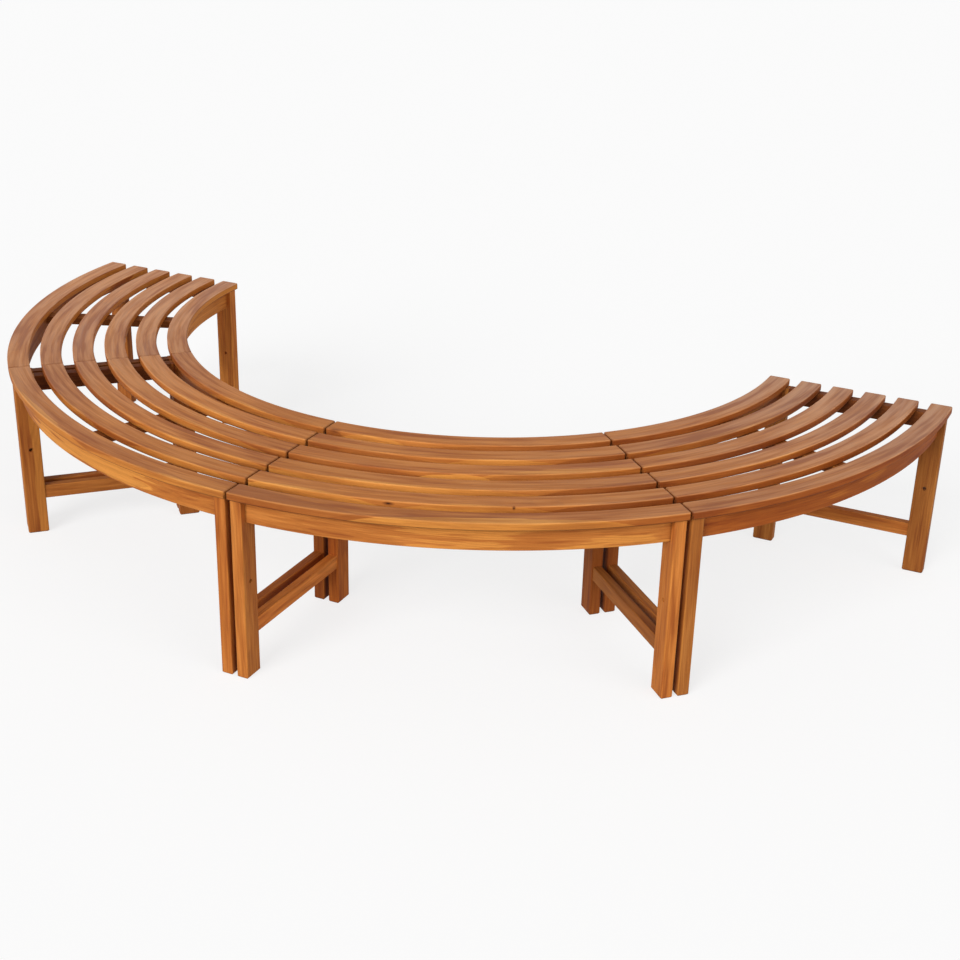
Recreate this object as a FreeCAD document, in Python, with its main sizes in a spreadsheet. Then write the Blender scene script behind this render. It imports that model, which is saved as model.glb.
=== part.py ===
"""A half-ring tree bench: four equal curved benches with slatted seats, set end to end.

Each bench is drawn in its own frame: the ring's centre is the origin, +X points out through the middle of
the bench and Z is up from the floor. What stands at a bench's end is drawn in the end's frame: +X runs out
along the end plane. A Placement then turns each piece to its place in the half ring, which opens towards +Y.
Seen from outside, with the ring's centre behind the bench, the left end is the one turned back by half the
bench's angle.
"""
import FreeCAD
import Part
import math
import os
import string

import Sketcher
from FreeCAD import Placement, Rotation, Vector

SIZES = [
    ("outer_radius", 1275, "outer edge of the seat, from the ring's centre"),
    ("seat_height", 450, "top of the slats above the floor"),
    ("bench_angle", 45, "part of the ring that one bench covers, in degrees"),
    ("bench_count", 4, "benches in the half ring"),
    ("joint_gap", 1.5, "slat end to the end plane: half of the gap between two benches"),
    ("slat_count", 6, "slats in one bench"),
    ("slat_width", 53, "slat, across the seat"),
    ("slat_gap", 28.6, "clear gap between two slats"),
    ("slat_thickness", 18, "slat, top to bottom"),
    ("slat_corner_radius", 4.5, "rounding of a slat's four corners, seen from above"),
    ("slat_edge_radius", 3, "rounding of the edges all round a slat, above and below"),
    ("leg_depth", 52, "leg, towards the ring's centre"),
    ("leg_width", 28, "leg, along the seat"),
    ("leg_set_in", 6, "end plane to the leg's outer side"),
    ("leg_margin", 7, "seat edge to the leg's face"),
    ("leg_edge_radius", 3, "rounding of a leg's upright edges"),
    ("foot_chamfer", 3, "chamfer round a leg's foot"),
    ("apron_thickness", 22, "apron, through"),
    ("apron_height", 55, "apron, top to bottom"),
    ("apron_edge_radius", 2.5, "rounding of an apron's long edges"),
    ("rail_width", 24, "end rail, along the seat"),
    ("rail_height", 40, "end rail, top to bottom"),
    ("rail_edge_radius", 1.5, "rounding of an end rail's lower edges"),
    ("stretcher_width", 22, "low stretcher, along the seat"),
    ("stretcher_height", 35, "low stretcher, top to bottom"),
    ("stretcher_level", 95, "floor to the stretcher's underside"),
    ("stretcher_edge_radius", 2, "rounding of a stretcher's long edges"),
    ("bearer_width", 38, "middle bearer, along the seat"),
    ("bearer_thickness", 20, "middle bearer, top to bottom"),
    ("tenon_share", 0.5, "tenon's thickness as a share of its own piece's"),
    ("tenon_shoulder", 6, "shoulder above and below a tenon"),
    ("tenon_cover", 10, "wood left between an apron's tenon and the leg's outer side"),
    ("tenon_wall", 6, "wood left between a rail's tenon and the apron's tenon"),
    ("stretcher_tenon", 20, "length of a stretcher's tenon"),
    ("mortise_slack", 0.2, "clearance on each cheek of a tenon"),
    ("mortise_end_slack", 1, "clearance beyond a tenon's end"),
    ("curve_clearance", 0.3, "flat end to the curved face that it meets"),
    ("bolt_hole", 10, "diameter of the hole through a leg"),
    ("bolt_level", 234, "floor to the centre of the hole through a leg"),
    ("screw_shank", 5, "diameter of a slat screw's shank"),
    ("screw_head", 8.6, "diameter of a slat screw's head"),
    ("screw_head_height", 2.5, "height of a slat screw's head"),
    ("screw_point", 4, "length of a slat screw's point"),
    ("screw_recess", 1, "bearer's underside to the screw head's underside"),
    ("screw_cover", 7, "slat's top to the screw's tip"),
    ("screw_clearance", 0.3, "clearance all round a screw's shank and head"),
    ("pilot_slack", 1, "clearance beyond a screw's tip"),
]

PLACES = [
    ("half_angle", "Sizes.bench_angle / 2"),
    ("centre_y", "(Sizes.outer_radius + Sizes.joint_gap) / 2"),
    ("slat_step", "Sizes.slat_width + Sizes.slat_gap"),
    ("inner_radius", "Sizes.outer_radius - Sizes.slat_count * Sizes.slat_width"
                     " - (Sizes.slat_count - 1) * Sizes.slat_gap"),
    ("support_top", "Sizes.seat_height - Sizes.slat_thickness"),
    ("leg_inside", "Sizes.leg_set_in + Sizes.leg_width"),
    ("leg_middle", "Sizes.leg_set_in + Sizes.leg_width / 2"),
    ("outer_leg_far", "Sizes.outer_radius - Sizes.leg_margin"),
    ("outer_leg_near", "outer_leg_far - Sizes.leg_depth"),
    ("outer_leg_mid", "outer_leg_far - Sizes.leg_depth / 2"),
    ("inner_leg_near", "inner_radius + Sizes.leg_margin"),
    ("inner_leg_far", "inner_leg_near + Sizes.leg_depth"),
    ("inner_leg_mid", "inner_leg_near + Sizes.leg_depth / 2"),
    ("apron_half", "Sizes.apron_thickness / 2"),
    ("apron_bottom", "support_top - Sizes.apron_height"),
    ("apron_tenon_half", "Sizes.apron_thickness * Sizes.tenon_share / 2"),
    ("apron_tenon_end", "Sizes.leg_set_in + Sizes.tenon_cover"),
    ("apron_tenon_bottom", "apron_bottom + Sizes.tenon_shoulder"),
    ("apron_tenon_top", "support_top - Sizes.tenon_shoulder"),
    ("rail_middle", "Sizes.leg_set_in + Sizes.rail_width / 2"),
    ("rail_bottom", "support_top - Sizes.rail_height"),
    ("rail_tenon_half", "Sizes.rail_width * Sizes.tenon_share / 2"),
    ("rail_tenon_bottom", "rail_bottom + Sizes.tenon_shoulder"),
    ("rail_tenon_top", "support_top - Sizes.tenon_shoulder"),
    ("rail_tenon", "Sizes.leg_depth / 2 - apron_tenon_half - Sizes.tenon_wall"),
    ("stretcher_top", "Sizes.stretcher_level + Sizes.stretcher_height"),
    ("stretcher_half", "Sizes.stretcher_width / 2"),
    ("stretcher_tenon_half", "Sizes.stretcher_width * Sizes.tenon_share / 2"),
    ("stretcher_tenon_bottom", "Sizes.stretcher_level + Sizes.tenon_shoulder"),
    ("stretcher_tenon_top", "stretcher_top - Sizes.tenon_shoulder"),
    ("bearer_half", "Sizes.bearer_width / 2"),
    ("bearer_bottom", "support_top - Sizes.bearer_thickness"),
    ("bearer_near", "inner_leg_mid + apron_half + Sizes.curve_clearance"),
    ("bearer_far", "sqrt((outer_leg_mid - apron_half) ^ 2 - bearer_half ^ 2) - Sizes.curve_clearance / 2"),
    ("bearer_tenon", "Sizes.apron_thickness / 2"),
    ("bearer_tenon_half", "bearer_half - Sizes.tenon_shoulder"),
    ("bearer_tenon_rise", "Sizes.bearer_thickness * (1 - Sizes.tenon_share) / 2"),
    ("bearer_tenon_bottom", "bearer_bottom + bearer_tenon_rise"),
    ("bearer_tenon_top", "support_top - bearer_tenon_rise"),
    ("screw_head_level", "bearer_bottom + Sizes.screw_recess"),
    ("screw_seat_level", "screw_head_level + Sizes.screw_head_height"),
    ("screw_tip_level", "Sizes.seat_height - Sizes.screw_cover"),
    ("shank_hole", "Sizes.screw_shank + 2 * Sizes.screw_clearance"),
    ("head_hole", "Sizes.screw_head + 2 * Sizes.screw_clearance"),
    ("pilot_depth", "screw_tip_level + Sizes.pilot_slack - support_top"),
    ("screw_turn", "Sizes.bench_angle / 5"),
]

# The largest part of a wall that the rounding of its edge may take.
LARGEST_ROUNDING = 0.2

doc = FreeCAD.newDocument("TreeBench")
nodes = {}


def fill_sheet(name, rows):
    """Write one sheet: a name, a value and a note in each row, with the name as the value's alias."""
    sheet = doc.addObject("Spreadsheet::Sheet", name)
    for number, row in enumerate(rows, 1):
        sheet.set(f"A{number}", row[0])
        sheet.set(f"B{number}", row[1])
        sheet.setAlias(f"B{number}", row[0])
        if len(row) > 2:
            sheet.set(f"C{number}", row[2])
    return sheet


sizes = fill_sheet("Sizes", [(name, str(number), note) for name, number, note in SIZES])
places = fill_sheet("Places", [(name, "=" + formula) for name, formula in PLACES])
doc.recompute()


def value(expression):
    """The number that an expression of the two sheets gives."""
    found = sizes.evalExpression(expression)
    return float(getattr(found, "Value", found))


def origin_part(body, role):
    """One of a body's own origin planes or axes."""
    return next(part for part in body.Origin.OriginFeatures if part.Role == role)


def new_body(label):
    """An empty body under its own label, kept as one of the bench's pieces."""
    body = doc.addObject("PartDesign::Body", label)
    body.Label = label
    nodes[label] = body
    return body


def new_sketch(body, name, level="0", turn="0", plane="XY_Plane"):
    """A sketch on one of the body's origin planes, raised by level and turned about the plane's normal."""
    sketch = body.newObject("Sketcher::SketchObject", name)
    sketch.AttachmentSupport = [(origin_part(body, plane), "")]
    sketch.MapMode = "FlatFace"
    sketch.AttachmentOffset = Placement(Vector(), Rotation(Vector(0, 0, 1), 0))
    sketch.setExpression("AttachmentOffset.Base.z", level)
    sketch.setExpression("AttachmentOffset.Rotation.Angle", f"({turn}) * 1 deg")
    return sketch


def constrain(sketch, name, constraint, formula):
    """Add one named constraint to a sketch and tie it to a formula."""
    number = sketch.addConstraint(constraint)
    sketch.renameConstraint(number, name)
    sketch.setExpression(f"Constraints.{name}", formula)


def pin_point(sketch, name, geometry, point, across, up):
    """Hold one point of a sketch at signed distances from the sketch's origin."""
    for axis, formula in (("X", across), ("Y", up)):
        distance = Sketcher.Constraint(f"Distance{axis}", -1, 1, geometry, point, value(formula))
        constrain(sketch, f"{name}_{axis}", distance, formula)


def rectangle(sketch, left, right, bottom, top):
    """Draw a rectangle between four signed distances from the sketch's origin."""
    low = Vector(value(left), value(bottom))
    high = Vector(value(right), value(top))
    corners = [low, Vector(high.x, low.y), high, Vector(low.x, high.y)]
    sketch.addGeometry([Part.LineSegment(corners[i], corners[(i + 1) % 4]) for i in range(4)])
    sketch.addConstraint([Sketcher.Constraint("Coincident", i, 2, (i + 1) % 4, 1) for i in range(4)])
    sketch.addConstraint([Sketcher.Constraint("Horizontal", i) for i in (0, 2)])
    sketch.addConstraint([Sketcher.Constraint("Vertical", i) for i in (1, 3)])
    pin_point(sketch, "low", 0, 1, left, bottom)
    pin_point(sketch, "high", 1, 2, right, top)


def circles(sketch, centres, diameter):
    """Draw equal circles about the given centres."""
    for number, (across, up) in enumerate(centres):
        centre = Vector(value(across), value(up))
        sketch.addGeometry(Part.Circle(centre, Vector(0, 0, 1), value(diameter) / 2))
        pin_point(sketch, f"spot{number}", number, 3, across, up)
        constrain(sketch, f"size{number}", Sketcher.Constraint("Diameter", number, value(diameter)), diameter)


def sector(sketch, inner, outer, set_in):
    """Draw a curved board's plan: two arcs about the ring's centre, closed by straight ends.

    Each end is parallel to the bench's end plane and lies set_in inside it.
    """
    half = math.radians(value("Places.half_angle"))
    gap = value(set_in)
    radii = [value(inner), value(outer)]

    def end_point(radius, side):
        along = math.sqrt(radius ** 2 - gap ** 2)
        return Vector(along * math.cos(half) + gap * math.sin(half),
                      side * (along * math.sin(half) - gap * math.cos(half)))

    arcs = []
    for radius in radii:
        reach = half - math.asin(gap / radius)
        arcs.append(Part.ArcOfCircle(Part.Circle(Vector(), Vector(0, 0, 1), radius), -reach, reach))
    ends = [Part.LineSegment(end_point(radii[0], side), end_point(radii[1], side)) for side in (-1, 1)]
    sketch.addGeometry(arcs + ends)
    sketch.addConstraint([Sketcher.Constraint("Coincident", arc, 3, -1, 1) for arc in (0, 1)])
    for line, arc_end in ((2, 1), (3, 2)):
        sketch.addConstraint(Sketcher.Constraint("Coincident", line, 1, 0, arc_end))
        sketch.addConstraint(Sketcher.Constraint("Coincident", line, 2, 1, arc_end))
    constrain(sketch, "inner", Sketcher.Constraint("Radius", 0, radii[0]), inner)
    constrain(sketch, "outer", Sketcher.Constraint("Radius", 1, radii[1]), outer)
    for line, side in ((2, -1), (3, 1)):
        name = "low_end" if side < 0 else "high_end"
        constrain(sketch, f"{name}_slope", Sketcher.Constraint("Angle", line, side * half),
                  f"{side} * Places.half_angle * 1 deg")
        constrain(sketch, f"{name}_gap", Sketcher.Constraint("Distance", -1, 1, line, gap), set_in)


def pad(body, name, sketch, length):
    """Raise a sketch into a solid."""
    feature = body.newObject("PartDesign::Pad", name)
    feature.Profile = sketch
    feature.setExpression("Length", length)
    return feature


def pocket_up(body, name, sketch, length):
    """Cut a sketch upwards out of the solid."""
    feature = body.newObject("PartDesign::Pocket", name)
    feature.Profile = sketch
    feature.Reversed = True
    feature.setExpression("Length", length)
    return feature


def round_edges(body, name, base, chosen, radius, kind="Fillet"):
    """Round or chamfer the edges of the base feature for which chosen is true."""
    doc.recompute()
    edges = [f"Edge{number}" for number, edge in enumerate(base.Shape.Edges, 1) if chosen(edge)]
    feature = body.newObject(f"PartDesign::{kind}", name)
    feature.Base = (base, edges)
    feature.setExpression("Radius" if kind == "Fillet" else "Size", radius)
    return feature


def eased_by(radius, wall):
    """A rounding's radius, limited by the wall that it is on."""
    return f"min(Sizes.{radius}; {LARGEST_ROUNDING} * Sizes.{wall})"


def is_arc(edge):
    """Whether an edge is part of a circle."""
    return isinstance(edge.Curve, Part.Circle)


def is_upright(edge):
    """Whether an edge runs straight up."""
    return abs(edge.tangentAt(edge.FirstParameter).z) > 0.999


def lies_at(level):
    """A test for edges that lie flat at a height given by a formula."""
    def test(edge):
        box = edge.BoundBox
        return abs(box.ZMin - value(level)) < 0.01 and abs(box.ZMax - value(level)) < 0.01
    return test


def turned(across, up, angle):
    """The formulas of a point that is turned about the ring's centre."""
    return (f"({across}) * cos({angle}) - ({up}) * sin({angle})",
            f"({across}) * sin({angle}) + ({up}) * cos({angle})")


def slat_inner(number):
    """The inner radius of a slat, the innermost being number 1."""
    return f"Places.inner_radius + {number - 1} * Places.slat_step"


def slat_middle(number):
    """The middle radius of a slat."""
    return f"{slat_inner(number)} + Sizes.slat_width / 2"


def apron_spots(ring):
    """Centres of the four screws that go up through one apron, in the bench's frame."""
    middle = f"Places.{ring}_leg_mid"
    return [turned(middle, "0", f"{share} * Places.screw_turn") for share in (-1.5, -0.5, 0.5, 1.5)]


def slat_spots(number):
    """Centres of the screws that hold one slat, in the bench's frame."""
    if number == 1:
        return apron_spots("inner")
    if number == slat_count:
        return apron_spots("outer")
    middle = slat_middle(number)
    return [turned(middle, "Places.rail_middle", "-Places.half_angle"), (middle, "0"),
            turned(middle, "-Places.rail_middle", "Places.half_angle")]


def counterbored(body, name, level, spots, turn="0"):
    """Bore screw holes up through a piece from its underside, wide as the heads up to their seat."""
    sketch = new_sketch(body, f"{name}Spots", level, turn)
    circles(sketch, spots, "Places.head_hole")
    doc.recompute()
    hole = body.newObject("PartDesign::Hole", name)
    hole.Profile = sketch
    hole.Reversed = True
    hole.DepthType = "ThroughAll"
    hole.HoleCutType = "Counterbore"
    hole.HoleCutCustomValues = True
    hole.setExpression("Diameter", "Places.shank_hole")
    hole.setExpression("HoleCutDiameter", "Places.head_hole")
    hole.setExpression("HoleCutDepth", f"Places.screw_seat_level - ({level})")
    return hole


def place(body, bench, side=0):
    """Turn a piece to its bench, or with side -1 or 1 to that end plane of its bench."""
    body.Placement = Placement(Vector(), Rotation(Vector(0, 0, 1), 0))
    body.setExpression("Placement.Base.y", "Places.centre_y")
    turn = f"270 + ({bench} - (Sizes.bench_count - 1) / 2) * Sizes.bench_angle + {side} * Places.half_angle"
    body.setExpression("Placement.Rotation.Angle", f"({turn}) * 1 deg")


def make_slat(label, number):
    """A seat slat: a curved board with rounded edges and blind pilot holes for its screws underneath."""
    body = new_body(label)
    plan = new_sketch(body, "SlatPlan", "Places.support_top")
    sector(plan, slat_inner(number), f"{slat_inner(number)} + Sizes.slat_width", "Sizes.joint_gap")
    board = pad(body, "SlatBoard", plan, "Sizes.slat_thickness")
    corners = round_edges(body, "SlatCorners", board, is_upright,
                          eased_by("slat_corner_radius", "slat_width"))
    at_bottom = lies_at("Places.support_top")
    at_top = lies_at("Sizes.seat_height")
    round_edges(body, "SlatEdges", corners, lambda edge: at_bottom(edge) or at_top(edge),
                eased_by("slat_edge_radius", "slat_thickness"))
    spots = new_sketch(body, "PilotSpots", "Places.support_top")
    circles(spots, slat_spots(number), "Places.shank_hole")
    pocket_up(body, "PilotHoles", spots, "Places.pilot_depth")
    return body


def make_apron(label, ring):
    """A curved apron with a tenon at each end, a mortise for the middle bearer and four screw holes."""
    body = new_body(label)
    middle = f"Places.{ring}_leg_mid"
    plan = new_sketch(body, "ApronPlan", "Places.apron_bottom")
    sector(plan, f"{middle} - Places.apron_half", f"{middle} + Places.apron_half", "Places.leg_inside")
    board = pad(body, "ApronBoard", plan, "Sizes.apron_height")
    round_edges(body, "ApronEdges", board, is_arc, eased_by("apron_edge_radius", "apron_thickness"))
    tenon_plan = new_sketch(body, "TenonPlan", "Places.apron_tenon_bottom", "-Places.half_angle")
    rectangle(tenon_plan, f"{middle} - Places.apron_tenon_half", f"{middle} + Places.apron_tenon_half",
              "Places.apron_tenon_end", "Places.leg_inside + Sizes.tenon_shoulder")
    tenon = pad(body, "Tenon", tenon_plan, "Places.apron_tenon_top - Places.apron_tenon_bottom")
    tenons = body.newObject("PartDesign::Mirrored", "OtherTenon")
    tenons.Originals = [tenon]
    tenons.MirrorPlane = (origin_part(body, "XZ_Plane"), [""])
    body.Tip = tenons
    near = "Places.bearer_near - Places.bearer_tenon - Sizes.mortise_end_slack"
    far = f"{middle} + Sizes.apron_thickness"
    if ring == "outer":
        near = f"{middle} - Sizes.apron_thickness"
        far = "Places.bearer_far + Places.bearer_tenon + Sizes.mortise_end_slack"
    mortise_plan = new_sketch(body, "BearerMortisePlan", "Places.bearer_tenon_bottom - Sizes.mortise_slack")
    rectangle(mortise_plan, near, far, "-Places.bearer_tenon_half - Sizes.mortise_slack",
              "Places.bearer_tenon_half + Sizes.mortise_slack")
    pocket_up(body, "BearerMortise", mortise_plan,
              "Places.bearer_tenon_top - Places.bearer_tenon_bottom + 2 * Sizes.mortise_slack")
    counterbored(body, "ScrewHoles", "Places.apron_bottom", apron_spots(ring))
    return body


def make_leg(label, ring, side):
    """A leg, in its end's frame, with its mortises and the cross hole that can join it to the next bench."""
    body = new_body(label)
    near = f"Places.{ring}_leg_near"
    middle = f"Places.{ring}_leg_mid"
    far = f"Places.{ring}_leg_far"

    def across(first, second):
        """The two distances along the seat, in rising order, of a stretch that starts at the end plane."""
        if side < 0:
            return first, second
        return f"-({second})", f"-({first})"

    plan = new_sketch(body, "LegPlan")
    rectangle(plan, near, far, *across("Sizes.leg_set_in", "Places.leg_inside"))
    post = pad(body, "Post", plan, "Places.support_top")
    eased = round_edges(body, "PostEdges", post, is_upright, eased_by("leg_edge_radius", "leg_width"))
    round_edges(body, "Foot", eased, lies_at("0"), eased_by("foot_chamfer", "leg_width"), "Chamfer")

    slack = "Sizes.mortise_slack"
    deep = "Sizes.mortise_end_slack"
    apron_plan = new_sketch(body, "ApronMortisePlan", f"Places.apron_tenon_bottom - {slack}")
    rectangle(apron_plan, f"{middle} - Places.apron_tenon_half - {slack}",
              f"{middle} + Places.apron_tenon_half + {slack}",
              *across(f"Places.apron_tenon_end - {deep}", f"Places.leg_inside + {deep}"))
    pocket_up(body, "ApronMortise", apron_plan,
              f"Places.apron_tenon_top - Places.apron_tenon_bottom + 2 * {slack}")

    for piece, centre, depth in (("rail", "Places.rail_middle", "Places.rail_tenon"),
                                 ("stretcher", "Places.leg_middle", "Sizes.stretcher_tenon")):
        low = f"{near} - {deep}"
        high = f"{near} + {depth} + {deep}"
        if ring == "inner":
            low = f"{far} - {depth} - {deep}"
            high = f"{far} + {deep}"
        cheek = f"(Places.{piece}_tenon_half + {slack})"
        name = f"{piece.title()}Mortise"
        mortise_plan = new_sketch(body, f"{name}Plan", f"Places.{piece}_tenon_bottom - {slack}")
        rectangle(mortise_plan, low, high, *across(f"{centre} - {cheek}", f"{centre} + {cheek}"))
        pocket_up(body, name, mortise_plan,
                  f"Places.{piece}_tenon_top - Places.{piece}_tenon_bottom + 2 * {slack}")

    bolt_plan = new_sketch(body, "BoltSpot", plane="XZ_Plane")
    circles(bolt_plan, [(middle, "Sizes.bolt_level")], "Sizes.bolt_hole")
    bolt_hole = body.newObject("PartDesign::Pocket", "BoltHole")
    bolt_hole.Profile = bolt_plan
    bolt_hole.SideType = "Symmetric"
    bolt_hole.Type = "ThroughAll"
    return body


def mirror_whole(body):
    """Repeat the whole piece at the bench's other end."""
    doc.recompute()
    mirror = body.newObject("PartDesign::Mirrored", "OtherEnd")
    mirror.TransformMode = "Whole shape"
    mirror.MirrorPlane = (origin_part(body, "XZ_Plane"), [""])
    body.Tip = mirror


def make_stretchers(label):
    """The two low stretchers of a bench, each between the outer and the inner leg of one end."""
    body = new_body(label)
    plan = new_sketch(body, "StretcherPlan", "Sizes.stretcher_level", "-Places.half_angle")
    rectangle(plan, "Places.inner_leg_far", "Places.outer_leg_near",
              "Places.leg_middle - Places.stretcher_half", "Places.leg_middle + Places.stretcher_half")
    bar = pad(body, "StretcherBar", plan, "Sizes.stretcher_height")
    doc.recompute()
    full = value("Places.outer_leg_near") - value("Places.inner_leg_far")
    round_edges(body, "StretcherEdges", bar, lambda edge: abs(edge.Length - full) < 0.01,
                eased_by("stretcher_edge_radius", "stretcher_width"))
    tenon_plan = new_sketch(body, "StretcherTenonPlan", "Places.stretcher_tenon_bottom", "-Places.half_angle")
    rectangle(tenon_plan, "Places.inner_leg_far - Sizes.stretcher_tenon",
              "Places.outer_leg_near + Sizes.stretcher_tenon",
              "Places.leg_middle - Places.stretcher_tenon_half",
              "Places.leg_middle + Places.stretcher_tenon_half")
    pad(body, "StretcherTenons", tenon_plan, "Places.stretcher_tenon_top - Places.stretcher_tenon_bottom")
    mirror_whole(body)
    return body


def make_end_rails(label):
    """The two end rails of a bench, under the slats, each between the outer and the inner leg of one end."""
    body = new_body(label)
    plan = new_sketch(body, "RailPlan", "Places.rail_bottom", "-Places.half_angle")
    rectangle(plan, "Places.inner_leg_far", "Places.outer_leg_near",
              "Sizes.leg_set_in", "Sizes.leg_set_in + Sizes.rail_width")
    bar = pad(body, "RailBar", plan, "Sizes.rail_height")
    doc.recompute()
    full = value("Places.outer_leg_near") - value("Places.inner_leg_far")
    at_bottom = lies_at("Places.rail_bottom")
    round_edges(body, "RailEdges", bar, lambda edge: at_bottom(edge) and abs(edge.Length - full) < 0.01,
                eased_by("rail_edge_radius", "rail_width"))
    tenon_plan = new_sketch(body, "RailTenonPlan", "Places.rail_tenon_bottom", "-Places.half_angle")
    rectangle(tenon_plan, "Places.inner_leg_far - Places.rail_tenon",
              "Places.outer_leg_near + Places.rail_tenon",
              "Places.rail_middle - Places.rail_tenon_half", "Places.rail_middle + Places.rail_tenon_half")
    pad(body, "RailTenons", tenon_plan, "Places.rail_tenon_top - Places.rail_tenon_bottom")
    counterbored(body, "RailScrewHoles", "Places.rail_bottom",
                 [(slat_middle(number), "Places.rail_middle") for number in range(2, slat_count)],
                 "-Places.half_angle")
    mirror_whole(body)
    return body


def make_mid_bearers(label):
    """The middle bearers of all benches: flat battens under the slats, tenoned into the two aprons."""
    body = new_body(label)
    plan = new_sketch(body, "BearerPlan", "Places.bearer_bottom")
    rectangle(plan, "Places.bearer_near", "Places.bearer_far", "-Places.bearer_half", "Places.bearer_half")
    pad(body, "BearerBatten", plan, "Sizes.bearer_thickness")
    tenon_plan = new_sketch(body, "BearerTenonPlan", "Places.bearer_tenon_bottom")
    rectangle(tenon_plan, "Places.bearer_near - Places.bearer_tenon",
              "Places.bearer_far + Places.bearer_tenon",
              "-Places.bearer_tenon_half", "Places.bearer_tenon_half")
    pad(body, "BearerTenons", tenon_plan, "Places.bearer_tenon_top - Places.bearer_tenon_bottom")
    counterbored(body, "BearerScrewHoles", "Places.bearer_bottom",
                 [(slat_middle(number), "0") for number in range(2, slat_count)])
    doc.recompute()
    ring = body.newObject("PartDesign::PolarPattern", "OneInEachBench")
    ring.TransformMode = "Whole shape"
    ring.Axis = (origin_part(body, "Z_Axis"), [""])
    ring.setExpression("Angle", "Sizes.bench_angle * (Sizes.bench_count - 1)")
    ring.setExpression("Occurrences", "Sizes.bench_count")
    body.Tip = ring
    return body


def one_screw():
    """A slat screw standing on its head about the Z axis, with a pointed tip."""
    shank = value("Sizes.screw_shank") / 2
    head = value("Sizes.screw_head") / 2
    bottom = value("Places.screw_head_level")
    seat = value("Places.screw_seat_level")
    tip = value("Places.screw_tip_level")
    shoulder = tip - value("Sizes.screw_point")
    outline = [(0, bottom), (head, bottom), (head, seat), (shank, seat), (shank, shoulder), (0, tip),
               (0, bottom)]
    wire = Part.makePolygon([Vector(across, 0, up) for across, up in outline])
    return Part.Face(wire).revolve(Vector(), Vector(0, 0, 1), 360)


def make_slat_screws(label):
    """All the slat screws, each in the hole that was bored for it."""
    screw = one_screw()
    group = []
    for bench in range(bench_count):
        turn = (bench - (bench_count - 1) / 2) * value("Sizes.bench_angle")
        for number in range(1, slat_count + 1):
            for across, along in slat_spots(number):
                copy = screw.copy()
                copy.translate(Vector(value(across), value(along)))
                copy.rotate(Vector(), Vector(0, 0, 1), 270 + turn)
                group.append(copy)
    screws = doc.addObject("Part::Feature", label)
    screws.Label = label
    screws.Shape = Part.makeCompound(group)
    screws.Placement = Placement(Vector(0, value("Places.centre_y"), 0), Rotation())
    nodes[label] = screws


slat_count = int(value("Sizes.slat_count"))
bench_count = int(value("Sizes.bench_count"))

for bench, letter in enumerate(string.ascii_lowercase[:bench_count]):
    for number in range(1, slat_count + 1):
        place(make_slat(f"bench_{letter}_slat_{number}", number), bench)
    for ring in ("outer", "inner"):
        place(make_apron(f"bench_{letter}_{ring}_apron", ring), bench)
        for hand, side in (("left", -1), ("right", 1)):
            place(make_leg(f"bench_{letter}_{ring}_leg_{hand}", ring, side), bench, side)
    place(make_stretchers(f"bench_{letter}_stretchers"), bench)
    place(make_end_rails(f"bench_{letter}_end_rails"), bench)
place(make_mid_bearers("mid_bearers"), 0)
make_slat_screws("slat_screws")
doc.recompute()

for item in doc.Objects:
    if "Invalid" in item.State or "Error" in item.State:
        raise RuntimeError(f"{item.Label} did not build: {item.State}")
for label, item in nodes.items():
    if item.Shape.isNull() or not item.Shape.isValid():
        raise RuntimeError(f"{label} has no valid shape")

os.makedirs("parts", exist_ok=True)
for label, item in nodes.items():
    item.Shape.exportStep(f"parts/{label}.step")
    print(f"{label}: {len(item.Shape.Solids)} solids, {item.Shape.Volume / 1000:.1f} cm3")
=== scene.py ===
"""The tree bench: four curved slatted benches in a half ring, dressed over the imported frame.

Lengths are in metres. The ring's centre is the axis that every curved board goes round. A bench's boards
run from one end plane to the other, and the end planes stand a bench's angle apart. Angles are counted the
usual way, from +X towards +Y, so the first bench starts at half a turn and the last one ends at a whole
turn.
"""
import logging
import math
from dataclasses import dataclass
from enum import Enum

import bpy
import numpy as np
from mathutils import Matrix, Vector


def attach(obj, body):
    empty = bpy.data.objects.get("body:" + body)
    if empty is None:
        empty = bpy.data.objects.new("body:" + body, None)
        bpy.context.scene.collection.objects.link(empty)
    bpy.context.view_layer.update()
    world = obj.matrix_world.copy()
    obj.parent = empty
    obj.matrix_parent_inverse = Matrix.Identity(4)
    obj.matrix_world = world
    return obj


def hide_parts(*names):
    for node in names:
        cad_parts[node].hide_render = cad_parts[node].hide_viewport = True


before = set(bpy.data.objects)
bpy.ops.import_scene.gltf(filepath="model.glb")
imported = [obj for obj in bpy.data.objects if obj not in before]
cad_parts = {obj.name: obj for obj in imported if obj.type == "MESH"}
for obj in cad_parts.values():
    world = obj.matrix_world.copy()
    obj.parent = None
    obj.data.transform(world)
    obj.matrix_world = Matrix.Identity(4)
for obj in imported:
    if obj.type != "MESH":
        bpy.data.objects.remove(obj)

Colour = tuple[float, float, float]
Place = tuple[float, float, float]
Section = tuple[float, float]
Numbers = tuple[float, ...]
Owner = bpy.types.Material | bpy.types.World
Surface = tuple[np.ndarray, np.ndarray, list[list[int]]]
log = logging.getLogger("tree bench")

BODY = "root"
WHITE = (1.0, 1.0, 1.0, 1.0)


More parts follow.
